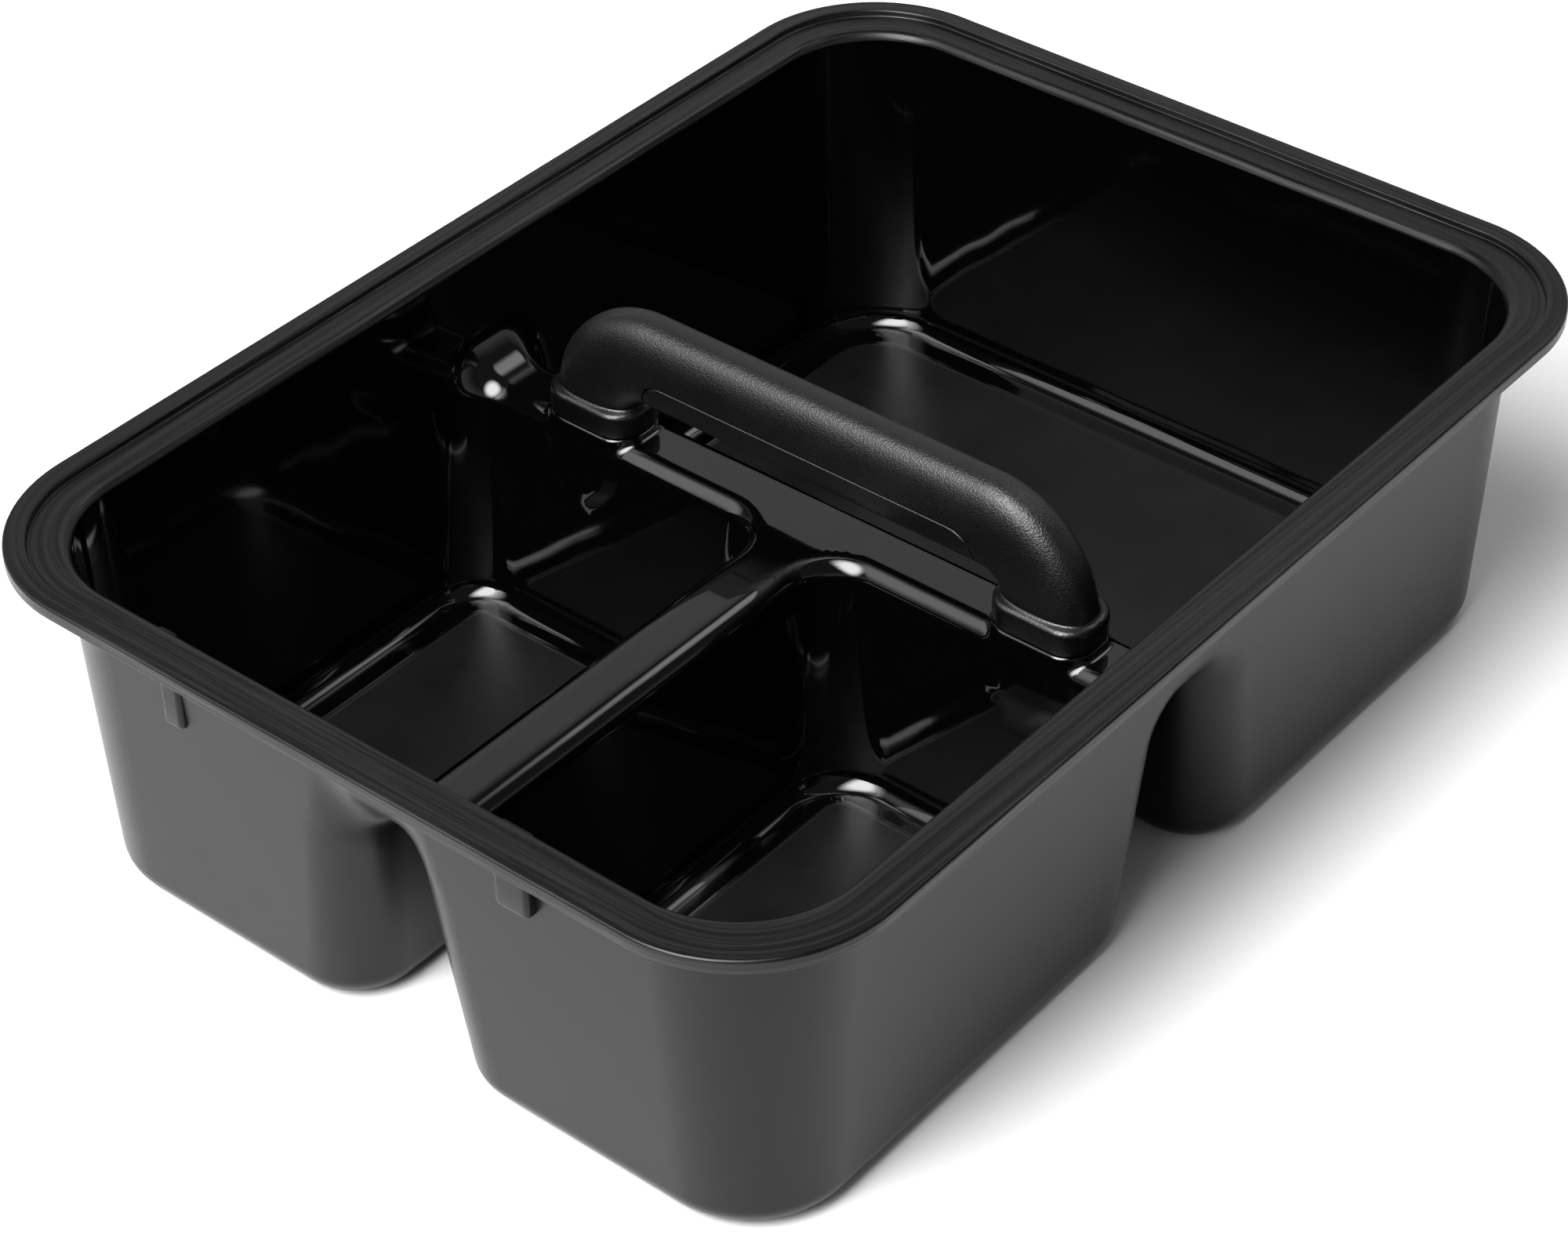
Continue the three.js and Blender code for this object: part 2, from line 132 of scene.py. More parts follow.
def cavity_field(x, y, z):
    """Below 0 inside the compartments and WALL at the outside of the tub, below the rim."""
    inset = wall_inset(z)
    wall = rounded_box(x, y, HALF_LENGTH - inset, HALF_WIDTH - inset, wall_corner(z))
    depth = (PARTITION_SHOULDER - z) / PARTITION_SHOULDER
    side = PARTITION_SIDE + PARTITION_DRAFT * (PARTITION_SHOULDER - z)
    cross = (np.abs(x) - side) * DRAFT_COSINE
    along = np.maximum((np.abs(y) - side) * DRAFT_COSINE, 4 * x)  # only on the side of the short wall
    sides = round_min(cross, along, blend(TEE_CORNER_TOP, TEE_CORNER_FOOT, depth))
    above = z - PARTITION_Z
    partition = round_max(sides, above, PARTITION_ROUND)
    short_end = smooth((-x - SADDLE_X) / SADDLE_RUN_X) * smooth((SADDLE_Y - np.abs(y)) / SADDLE_RUN_Y)
    is_top = smooth((above - sides + SADDLE_DROP) / SADDLE_BLEND)
    end_corner = blend(END_CORNER_TOP, END_CORNER_FOOT, depth)
    fillet = end_corner + (SADDLE_SHORT - end_corner) * short_end * is_top
    inside = round_max(wall, -partition, fillet)
    inside = round_max(inside, FLOOR_Z - z, FLOOR_FILLET)
    return round_max(inside, -boss_field(x, y, z), BOSS_FILLET)


def gradient(field, points, step=0.02):
    columns = []
    for axis in range(3):
        shift = np.zeros(3)
        shift[axis] = step
        high = field(*(points + shift).T)
        low = field(*(points - shift).T)
        columns.append((high - low) / (2 * step))
    return np.stack(columns, axis=1)


# ---- level sets as quad meshes ----


def spaced(*stops):
    """Grid lines from (position, spacing up to the next position) pairs, ending with a position."""
    lines = []
    for (start, spacing), after in zip(stops[:-1], stops[1:]):
        end = after[0] if isinstance(after, tuple) else after
        count = max(1, round((end - start) / spacing))
        lines.extend(np.linspace(start, end, count, endpoint=False))
    return np.array([*lines, stops[-1]])


def mirrored(half):
    return np.array([*(-half[:0:-1]), *half]) if half[0] == 0 else np.array([*(-half[::-1]), *half])


def surface_net(values, axes):
    """Quads through the cells where the values change sign, facing towards positive values."""
    cells = tuple(n - 1 for n in values.shape)
    total = np.zeros((*cells, 3))
    hits = np.zeros(cells)
    quads = []
    for a in range(3):
        b, c = (a + 1) % 3, (a + 2) % 3
        low = np.take(values, np.arange(values.shape[a] - 1), axis=a)
        high = np.take(values, np.arange(1, values.shape[a]), axis=a)
        start = np.argwhere((low < 0) != (high < 0))
        v0, v1 = low[tuple(start.T)], high[tuple(start.T)]
        point = np.stack([axes[k][start[:, k]] for k in range(3)], axis=1)
        point[:, a] += v0 / (v0 - v1) * (axes[a][start[:, a] + 1] - axes[a][start[:, a]])
        corners = []
        for db, dc in ((-1, -1), (0, -1), (0, 0), (-1, 0)):
            cell = start.copy()
            cell[:, b] += db
            cell[:, c] += dc
            fits = np.all((cell >= 0) & (cell < np.array(cells)), axis=1)
            np.add.at(total, tuple(cell[fits].T), point[fits])
            np.add.at(hits, tuple(cell[fits].T), 1)
            corners.append((cell, fits))
        whole = np.all([fits for _, fits in corners], axis=0)
        flat = [np.ravel_multi_index(tuple(cell[whole].T), cells) for cell, _ in corners]
        quad = np.stack(flat, axis=1)
        turned = v0[whole] > 0
        quad[turned] = quad[turned][:, ::-1]
        quads.append(quad)
    used = np.flatnonzero(hits.ravel())
    number = np.full(hits.size, -1)
    number[used] = np.arange(len(used))
    points = total.reshape(-1, 3)[used] / hits.ravel()[used, None]
    layer = np.unravel_index(used, cells)[2]
    return points, number[np.concatenate(quads)], layer


NEWTON_ROUNDS, LONGEST_MOVE, LEAST_SLOPE = 6, 2.5, 0.05


def shell(level, axes):
    """One side of the tub below SEAM_Z, as points, quads, normals and the indices of its top ring."""
    x, y, z = np.meshgrid(*axes, indexing="ij")
    values = cavity_field(x, y, z) - level
    values[:, :, -1] = values[:, :, -2]
    points, quads, layer = surface_net(values, axes)
    ring = np.flatnonzero(layer == len(axes[2]) - 2)
    points[ring, 2] = SEAM_Z
    for _ in range(NEWTON_ROUNDS):
        slope = gradient(cavity_field, points)
        slope[ring, 2] = 0
        miss = cavity_field(*points.T) - level
        move = -slope * (miss / np.maximum((slope**2).sum(1), LEAST_SLOPE))[:, None]
        length = np.linalg.norm(move, axis=1, keepdims=True)
        points += move * np.minimum(1, LONGEST_MOVE / np.maximum(length, 1e-9))
    normals = gradient(cavity_field, points)
    normals /= np.linalg.norm(normals, axis=1, keepdims=True)
    return points, quads, normals, ring


# ---- swept rim ----


def around(points, half_x, half_y, r):
    """Place of points on a rounded rectangle as one number each, in sides and corners from 0 to 8."""
    x, y = points[:, 0], points[:, 1]
    cx, cy = half_x - r, half_y - r
    corner = (np.abs(x) > cx) & (np.abs(y) > cy)
    angle = np.arctan2(np.abs(y) - cy, np.abs(x) - cx) / (math.pi / 2)
    quadrant = np.where(x >= 0, np.where(y >= 0, 0, 3), np.where(y >= 0, 1, 2))
    share = np.where((quadrant == 0) | (quadrant == 2), angle, 1 - angle)
    at_corner = 2 * quadrant + 0.5 + share
    side_x = np.where(x > 0, 0.0, 4.0) + y / cy * np.where(x > 0, 0.5, -0.5)
    side_y = np.where(y > 0, 2.0, 6.0) + x / cx * np.where(y > 0, -0.5, 0.5)
    at_side = np.where(np.abs(y) <= cy, side_x, side_y)
    return np.where(corner, at_corner, at_side) % 8


def on_outline(places, half_x, half_y, r):
    """Points and outward directions of the places given by around()."""
    cx, cy = half_x - r, half_y - r
    places = (np.asarray(places) + 0.5) % 8
    section = np.floor(places).astype(int)
    share = places - section
    points = np.zeros((len(places), 2))
    outward = np.zeros((len(places), 2))
    for quadrant, (sx, sy) in enumerate(((1, 1), (-1, 1), (-1, -1), (1, -1))):
        pick = section == 2 * quadrant + 1
        angle = (quadrant + share[pick]) * math.pi / 2
        direction = np.stack([np.cos(angle), np.sin(angle)], axis=1)
        outward[pick] = direction
        points[pick] = np.array([sx * cx, sy * cy]) + r * direction
    sides = (
        (0, (half_x, -cy), (half_x, cy), (1, 0)),
        (2, (cx, half_y), (-cx, half_y), (0, 1)),
        (4, (-half_x, cy), (-half_x, -cy), (-1, 0)),
        (6, (-cx, -half_y), (cx, -half_y), (0, -1)),
    )
    for number, start, end, direction in sides:
        pick = section == number
        t = share[pick][:, None]
        points[pick] = (1 - t) * np.array(start) + t * np.array(end)
        outward[pick] = direction
    return points, outward


class Profile:
    """A rim section of lines and arcs as rows of inset from the outer edge, height, and normal."""

    def __init__(self, inset, z, side):
        self.rows = []
        self.at = (inset, z)
        self.side = side  # 1 where the surface faces right of the way it is drawn, -1 where it faces left

    def line(self, inset, z, steps=1):
        start = np.array(self.at, float)
        end = np.array([inset, z], float)
        along = (end - start) / np.linalg.norm(end - start)
        normal = self.side * np.array([along[1], -along[0]])
        first = 0 if not self.rows else 1
        for k in range(first, steps + 1):
            self.rows.append((*(start + (end - start) * k / steps), *normal))
        self.at = (inset, z)

    def bend(self, centre, radius, start, end, steps, hollow=False):
        """Arc round centre between two angles in degrees, 0 towards the tub and 90 up."""
        for k in range(1, steps + 1):
            angle = math.radians(start + (end - start) * k / steps)
            direction = np.array([math.cos(angle), math.sin(angle)])
            point = np.array(centre) + radius * direction
            self.rows.append((*point, *(-direction if hollow else direction)))
            self.at = tuple(point)


def rim_corner(inset, z):
    """Plan corner radius: parallel to the rim on the flange, and the wall's own radius lower down."""
    parallel = RIM_CORNER - inset
    wall = wall_corner(z) + wall_inset(z) - inset
    return parallel + (wall - parallel) * smooth((inset - LAND) / CORNER_RUN)


def inner_rim():
    """From the cavity wall up over the mouth, shelf, step and land, down the lip and in under it."""
    shelf_z = RIM_Z - SHELF_DROP
    start_z = shelf_z - MOUTH_ROUND
    under = RIM_Z - LIP_DEPTH
    groove_z = under + GROOVE_DEPTH - GROOVE_FILLET
    wall = wall_inset(start_z)
    step = LAND + STEP_TOP
    section = Profile(wall_inset(SEAM_Z), SEAM_Z, 1)
    section.line(wall, start_z, 3)
    section.bend((wall - MOUTH_ROUND, start_z), MOUTH_ROUND, 2, 90, 8)
    section.line(LAND + STEP_FOOT, shelf_z, 2)
    section.bend((LAND + STEP_FOOT, shelf_z + STEP_FILLET), STEP_FILLET, 270, 184, 3, hollow=True)
    section.line(step, RIM_Z - STEP_ROUND)
    section.bend((step - STEP_ROUND, RIM_Z - STEP_ROUND), STEP_ROUND, 4, 90, 4)
    section.line(LIP_ROUND, RIM_Z, 2)
    section.bend((LIP_ROUND, RIM_Z - LIP_ROUND), LIP_ROUND, 90, 178, 5)
    section.line(0.0, under + LIP_FOOT_ROUND, 2)
    section.bend((LIP_FOOT_ROUND, under + LIP_FOOT_ROUND), LIP_FOOT_ROUND, 180, 270, 3)
    section.line(GROOVE_START - GROOVE_FILLET, under)
    section.bend((GROOVE_START - GROOVE_FILLET, under + GROOVE_EDGE), GROOVE_EDGE, 270, 358, 2)
    section.line(GROOVE_START, groove_z)
    section.bend((GROOVE_START + GROOVE_FILLET, groove_z), GROOVE_FILLET, 178, 90, 2, hollow=True)
    section.line(GROOVE_END - GROOVE_FILLET, under + GROOVE_DEPTH)
    section.bend((GROOVE_END - GROOVE_FILLET, groove_z), GROOVE_FILLET, 90, 2, 2, hollow=True)
    section.line(GROOVE_END, under + GROOVE_EDGE)
    section.bend((GROOVE_END + GROOVE_EDGE, under + GROOVE_EDGE), GROOVE_EDGE, 182, 270, 2)
    section.line(JOIN_INNER, under)
    return section.rows


def outer_rim():
    """From the outside of the wall up and out under the shelf."""
    under = RIM_Z - LIP_DEPTH
    foot = under - FLANGE_FILLET
    wall = wall_inset(under) - WALL
    section = Profile(wall_inset(SEAM_Z) - WALL, SEAM_Z, -1)
    section.line(wall_inset(foot) - WALL, foot, 3)
    section.bend((wall - FLANGE_FILLET, foot), FLANGE_FILLET, 2, 90, 5, hollow=True)
    section.line(JOIN_OUTER, under)
    return section.rows


def sweep(rows, places, skin):
    """Rings of a rim section at the given places, all but the first, which the shell already has."""
    points, normals = [], []
    for inset, z, n_in, n_up in rows[1:]:
        corner = rim_corner(inset + skin, z) + skin
        plan, outward = on_outline(places, HALF_LENGTH - inset, HALF_WIDTH - inset, corner)
        points.append(np.column_stack([plan, np.full(len(plan), z)]))
        normals.append(np.column_stack([-outward * n_in, np.full(len(plan), n_up)]))
    return np.concatenate(points), np.concatenate(normals)


class Moulding:
    """Points, normals and faces of one piece, gathered patch by patch."""

    def __init__(self):
        self.points, self.normals, self.faces, self.regions = [], [], [], []
        self.count = 0

    def add(self, points, normals):
        start = self.count
        self.points.append(points)
        self.normals.append(normals)
        self.count += len(points)
        return start

    def face(self, faces, region):
        faces = np.asarray(faces).tolist()
        self.faces.extend(faces)
        self.regions.extend([region] * len(faces))

    def mesh(self, name):
        points = np.concatenate(self.points) * MM
        mesh = bpy.data.meshes.new(name)
        mesh.from_pydata(points.tolist(), [], self.faces)
        mesh.polygons.foreach_set("material_index", self.regions)
        mesh.polygons.foreach_set("use_smooth", [True] * len(self.faces))
        mesh.update()
        mesh.normals_split_custom_set_from_vertices(np.concatenate(self.normals).tolist())
        return mesh


def strips(rings, flip):
    """Quads between closed rings of vertex numbers."""
    quads = []
    for low, high in zip(rings[:-1], rings[1:]):
        quad = np.stack([low, np.roll(low, -1), np.roll(high, -1), high], axis=1)
        quads.append(quad[:, ::-1] if flip else quad)
    return np.concatenate(quads)


def zipper(outer, outer_places, inner, inner_places):
    """Triangles that join two rings of different counts lying in one plane, facing down."""
    triangles = []
    i = j = 0
    n, m = len(outer), len(inner)
    while i < n or j < m:
        next_outer = outer_places[(i + 1) % n] + 8 * ((i + 1) // n)
        next_inner = inner_places[(j + 1) % m] + 8 * ((j + 1) // m)
        if j >= m or (i < n and next_outer <= next_inner):
            triangles.append((outer[i % n], inner[j % m], outer[(i + 1) % n]))
            i += 1
        else:
            triangles.append((outer[i % n], inner[j % m], inner[(j + 1) % m]))
            j += 1
    return triangles


# ---- pieces ----

POLISHED, RIM, OUTSIDE = 0, 1, 2
PANEL_LEVEL = 30.0  # the textured floor panels are outlined by the compartment walls at this height
PANEL_MARGIN = 12.3  # and end this far inside them
PANEL_SINK, PANEL_EDGE = 0.3, 1.8  # and lie this much lower, down a slope this wide
NEAR_FLOOR = 0.3
SATIN_SHARE = 0.7  # the share of the mouth's rounding, from its top, that is satin like the rim
RIBS = ((68.4, 7.0, 1.8, 77.0), (-50.6, 11.0, 3.4, 82.4))  # y, width, depth, foot height
RIB_ROUND, RIB_CORNER = 1.8, 1.5  # at the foot, and in plan
RIB_ROOT = 1.5  # how far a rib reaches into the wall


def inner_axes():
    x = spaced((0, 1.8), (9, 0.9), (12, 2.2), (42, 4.5), (130, 2.4), (177.1, 1), 178)
    y = spaced((0, 2.2), (42, 3.2), (60, 0.9), (66, 2.0), (92, 0.9), (98, 2.3), (127.3, 1), 128.3)
    z = spaced((-0.3, 0.9), (9.6, 4.5), (46, 2.2), (59, 1.1), (75.5, 3.6), (96, 1), 97)
    return mirrored(x), mirrored(y), z


def outer_axes():
    x = spaced((0, 2.2), (30, 2.8), (42, 6), (130, 2.9), (179.6, 1), 180.6)
    y = spaced((0, 2.2), (30, 2.8), (42, 5), (90, 2.6), (129.9, 1), 130.9)
    z = spaced((-1.5, 1.2), (10.5, 4.5), (55, 2.0), (75.5, 3.6), (96, 1), 97)
    return mirrored(x), mirrored(y), z


def add_side(tub, level, axes, rows, regions, flip):
    """One side of the tub wall with its part of the rim, and the numbers and places of its last ring."""
    points, quads, normals, ring = shell(level, axes)
    inset = wall_inset(SEAM_Z) - level
    corner = rim_corner(inset + level, SEAM_Z) + level
    places = around(points[ring], HALF_LENGTH - inset, HALF_WIDTH - inset, corner)
    order = np.argsort(places)
    ring, places = ring[order], places[order]
    start = tub.add(points, -normals if flip else normals)
    tub.face(quads[:, ::-1] + start if flip else quads + start, regions[0])
    swept, swept_normals = sweep(rows, places, level)
    first = tub.add(swept, swept_normals)
    rings = [ring + start]
    for k in range(len(rows) - 1):
        rings.append(first + k * len(ring) + np.arange(len(ring)))
    for k, (low, high) in enumerate(zip(rings[:-1], rings[1:])):
        tub.face(strips([low, high], flip), regions[1](rows[k + 1]))
    return rings[-1], places


def rib_block(y, width, depth, foot):
    """Points of a stacking rib in rings from its foot to the flange, and the count of one ring."""
    wall = HALF_LENGTH - wall_inset(foot) + WALL
    top = RIM_Z - LIP_DEPTH + 0.5
    levels = []
    for turn in np.linspace(0, math.pi / 2, 5):
        levels.append((foot + RIB_ROUND * (1 - math.cos(turn)), RIB_ROUND * (1 - math.sin(turn))))
    levels += [(foot + (top - foot) * share, 0) for share in (0.3, 0.6, 1)]
    rings = []
    for z, shrink in levels:
        low, high = wall - RIB_ROOT, wall + depth - shrink
        corner = max(RIB_CORNER - shrink * 0.5, 0.4)
        plan, _ = on_outline(np.arange(0, 8, 0.125), (high - low) / 2, width / 2 - shrink, corner)
        middle = (high + low) / 2
        rings.append(np.column_stack([-plan[:, 0] - middle, plan[:, 1] + y, np.full(len(plan), z)]))
    return np.concatenate(rings), len(rings[0])


def add_rib(tub, y, width, depth, foot):
    points, count = rib_block(y, width, depth, foot)
    levels = len(points) // count
    numbers = np.arange(len(points)).reshape(levels, count)
    quads = strips(list(numbers), True)
    faces = quads.tolist() + [numbers[0].tolist(), numbers[-1][::-1].tolist()]
    normals = np.zeros_like(points)
    for face in faces:
        corners = points[face]
        normal = np.zeros(3)
        for k in range(1, len(corners) - 1):
            normal += np.cross(corners[k] - corners[0], corners[k + 1] - corners[0])
        normals[face] += normal / max(np.linalg.norm(normal), 1e-9)
    normals /= np.linalg.norm(normals, axis=1, keepdims=True)
    start = tub.add(points, normals)
    for face in faces:
        tub.face([[start + k for k in face]], OUTSIDE)


def make_tub():
    tub = Moulding()
    polished_top = RIM_Z - SHELF_DROP - SATIN_SHARE * MOUTH_ROUND
    under = RIM_Z - LIP_DEPTH

    def inner_region(row):
        inset, z = row[:2]
        if z < polished_top and inset > LAND + 2:
            return POLISHED
        return RIM if z > under + 0.01 else OUTSIDE

    inner_ring, inner_places = add_side(
        tub, 0.0, inner_axes(), inner_rim(), (POLISHED, inner_region), True
    )
    outer_ring, outer_places = add_side(
        tub, WALL, outer_axes(), outer_rim(), (OUTSIDE, lambda row: OUTSIDE), False
    )
    tub.face(zipper(inner_ring, inner_places, outer_ring, outer_places), OUTSIDE)
    for rib in RIBS:
        add_rib(tub, *rib)
    points = np.concatenate(tub.points)
    depth = -cavity_field(points[:, 0], points[:, 1], np.full(len(points), PANEL_LEVEL)) - PANEL_MARGIN
    on_floor = np.abs(points[:, 2] - FLOOR_Z) < NEAR_FLOOR
    sunk = smooth((depth + PANEL_EDGE / 2) / PANEL_EDGE)
    points[:, 2] -= np.where(on_floor, PANEL_SINK * sunk, 0)
    tub.points = [points]
    mesh = tub.mesh("tub_moulding")
    panel = mesh.attributes.new("panel", "FLOAT", "POINT")  # distance in from the edge of a panel
    panel.data.foreach_set("value", np.where(on_floor, depth, -1.0))
    inset = mesh.attributes.new("inset", "FLOAT", "POINT")  # in from the outer edge plus down from the top
    edge = rounded_box(points[:, 0], points[:, 1], HALF_LENGTH, HALF_WIDTH, RIM_CORNER)
    inset.data.foreach_set("value", -edge + (RIM_Z - points[:, 2]))
    piece = bpy.data.objects.new("tub_moulding", mesh)
    bpy.context.collection.objects.link(piece)
    return piece


# ---- handle ----

HANDLE_Z, HANDLE_HALF_X, HANDLE_HALF_Z, SQUARENESS = 98.9, 8.2, 13.9, 2.6
BEND = 20.5
BEND_Y, BEND_Z = LEG_Y - BEND, HANDLE_Z - BEND
FOOT_Z = BOSS_Z + 0.3
SEAM_TOP, SEAM_HALF_Y, SEAM_CORNER, SEAM_GAP = 96.3, 58.0, 8.0, 0.3


def handle_path(bend_steps=26, grip_steps=44):
    """Centre line from foot to foot with the direction across the bar: y, z, across y, across z."""
    rows = [(-LEG_Y, z, -1.0, 0.0) for z in np.linspace(FOOT_Z, BEND_Z, 4, endpoint=False)]
    for angle in np.linspace(0, math.pi / 2, bend_steps):
        c, s = math.cos(angle), math.sin(angle)
        rows.append((-BEND_Y - BEND * c, BEND_Z + BEND * s, -c, s))
    rows += [(y, HANDLE_Z, 0.0, 1.0) for y in np.linspace(-BEND_Y, 0, grip_steps // 2)[1:]]
    return rows + [(-y, z, -across_y, across_z) for y, z, across_y, across_z in rows[-2::-1]]


def on_oval(half_x, half_z, angle):
    """Places on the bar's squarish oval."""
    c, s = np.cos(angle), np.sin(angle)
    power = 2 / SQUARENESS
    return half_x * np.sign(c) * np.abs(c) ** power, half_z * np.sign(s) * np.abs(s) ** power


def capped(name, rings):
    """Closed tube through rings of equal count."""
    count = len(rings[0])
    points = np.concatenate(rings) * MM
    numbers = np.arange(len(points)).reshape(len(rings), count)
    faces = strips(list(numbers), False).tolist()
    faces += [numbers[0][::-1].tolist(), numbers[-1].tolist()]
    mesh = bpy.data.meshes.new(name)
    mesh.from_pydata(points.tolist(), [], faces)
    piece = bpy.data.objects.new(name, mesh)
    bpy.context.collection.objects.link(piece)
    return piece


def bar(name, count=88):
    angle = np.linspace(0, 2 * math.pi, count, endpoint=False)
    across, out = on_oval(HANDLE_HALF_X, HANDLE_HALF_Z, angle)
    rings = []
    for y, z, across_y, across_z in handle_path():
        rings.append(np.column_stack([-across, y + out * across_y, z + out * across_z]))
    return capped(name, rings)


def seam_zone(name, gap):
    """Block that holds the grip insert: flat top, round upper ends, open below."""
    half, top = SEAM_HALF_Y + gap, SEAM_TOP + gap
    turn = np.linspace(0, math.pi / 2, 13)
    y = half - SEAM_CORNER + SEAM_CORNER * np.cos(turn)
    z = top - SEAM_CORNER + SEAM_CORNER * np.sin(turn)
    outline = np.concatenate([[[half, PARTITION_Z]], np.column_stack([y, z])])
    outline = np.concatenate([outline, outline[::-1] * [-1, 1]])
    reach = HANDLE_HALF_X + 5
    rings = [np.column_stack([np.full(len(outline), x), outline]) for x in (-reach, reach)]
    return capped(name, rings)


def combine(piece, operation, tool):
    """Joins or cuts piece with tool, and removes the tool."""
    change = piece.modifiers.new("combine", "BOOLEAN")
    change.operation = operation
    change.object = tool
    change.solver = "EXACT"
    graph = bpy.context.evaluated_depsgraph_get()
    mesh = bpy.data.meshes.new_from_object(piece.evaluated_get(graph))
    piece.modifiers.clear()
    piece.data = mesh
    bpy.data.objects.remove(tool)


def soften(piece, width, segments=2, angle=40):
    """Rounds the sharp edges."""
    change = piece.modifiers.new("soften", "BEVEL")
    change.width = width * MM
    change.segments = segments
    change.limit_method = "ANGLE"
    change.angle_limit = math.radians(angle)
    change.use_clamp_overlap = False
    graph = bpy.context.evaluated_depsgraph_get()
    piece.data = bpy.data.meshes.new_from_object(piece.evaluated_get(graph))
    piece.modifiers.clear()


def across_bar(points):
    """Offset from the bar's centre line in its plane, and the direction of that offset."""
    x, y, z = points.T
    side = np.sign(y) + (y == 0)
    vy, vz = np.abs(y) - BEND_Y, z - BEND_Z
    reach = np.hypot(vy, vz)
    in_leg = (vz <= 0) & (vy > 0)
    in_bend = (vz > 0) & (vy > 0)
    out = np.where(in_leg, vy - BEND, np.where(in_bend, reach - BEND, z - HANDLE_Z))
    direction_y = np.where(in_leg, 1.0, np.where(in_bend, vy / np.maximum(reach, 1e-9), 0.0)) * side
    direction_z = np.where(in_leg, 0.0, np.where(in_bend, vz / np.maximum(reach, 1e-9), 1.0))
    return out, direction_y, direction_z


def oval_normals(points):
    """Level of the bar's oval section at the points, 1 on its surface, and the surface normals."""
    out, direction_y, direction_z = across_bar(points)
    u, v = np.abs(points[:, 0]) / HANDLE_HALF_X, np.abs(out) / HANDLE_HALF_Z
    level = (u**SQUARENESS + v**SQUARENESS) ** (1 / SQUARENESS)
    slope_x = u ** (SQUARENESS - 1) / HANDLE_HALF_X * np.sign(points[:, 0])
    slope_out = v ** (SQUARENESS - 1) / HANDLE_HALF_Z * np.sign(out)
    normals = np.column_stack([slope_x, slope_out * direction_y, slope_out * direction_z])
    return level, normals / np.maximum(np.linalg.norm(normals, axis=1, keepdims=True), 1e-9)


def shade_like_bar(piece):
    """Exact normals on the faces of the oval bar, and the mesh's own elsewhere."""
    mesh = piece.data
    mesh.polygons.foreach_set("use_smooth", [True] * len(mesh.polygons))
    corners = len(mesh.loops)
    points = np.zeros(len(mesh.vertices) * 3)
    mesh.vertices.foreach_get("co", points)
    points = points.reshape(-1, 3) / MM
    vertex = np.zeros(corners, int)
    mesh.loops.foreach_get("vertex_index", vertex)
    own = np.zeros(corners * 3)
    mesh.corner_normals.foreach_get("vector", own)
    own = own.reshape(-1, 3)
    sides = np.zeros(len(mesh.polygons), int)
    mesh.polygons.foreach_get("loop_total", sides)
    flat = np.zeros(len(mesh.polygons) * 3)
    mesh.polygons.foreach_get("normal", flat)
    face_normal = np.repeat(flat.reshape(-1, 3), sides, axis=0)
    level, exact = oval_normals(points)
    level, exact = level[vertex], exact[vertex]
    on_bar = (np.abs(level - 1) < 0.02) & ((exact * face_normal).sum(1) > 0.9)
    crisp = 0.7 * face_normal + 0.3 * own
    mesh.normals_split_custom_set(np.where(on_bar[:, None], exact, crisp).tolist())


def make_handle_body():
    body = bar("handle_shell")
    combine(body, "DIFFERENCE", seam_zone("zone", SEAM_GAP))
    soften(body, 0.3)
    shade_like_bar(body)
    return body


def make_insert():
    insert = bar("insert_shell")
    combine(insert, "INTERSECT", seam_zone("zone", 0))
    soften(insert, 0.45, 3)
    shade_like_bar(insert)
    return insert


COLLAR_HEIGHT, COLLAR_BULGE, COLLAR_CORNER = 8.6, 2.3, 9.0
COLLAR_CREST = 1.9  # radius of the rounded shoulder


def collar_section():
    """Closed section of the ring from the foot of its outside over the shoulder and down the leg."""
    crest_z = COLLAR_HEIGHT - COLLAR_CREST - 0.5
    crest = COLLAR_BULGE - COLLAR_CREST
    rows = [(1.4, 0.0), (1.85, 0.12), (2.1, 0.5), (COLLAR_BULGE - 0.05, 2.5), (COLLAR_BULGE, crest_z - 1)]
    for angle in np.linspace(0, math.radians(72), 7):
        rows.append((crest + COLLAR_CREST * math.cos(angle), crest_z + COLLAR_CREST * math.sin(angle)))
    rows += [(0.72, crest_z + 1.98), (0.56, COLLAR_HEIGHT - 0.25), (0.46, COLLAR_HEIGHT - 0.06)]
    rows += [(0.36, COLLAR_HEIGHT), (0.28, COLLAR_HEIGHT - 0.1), (0.22, COLLAR_HEIGHT - 0.5), (0.22, 0.0)]
    return rows


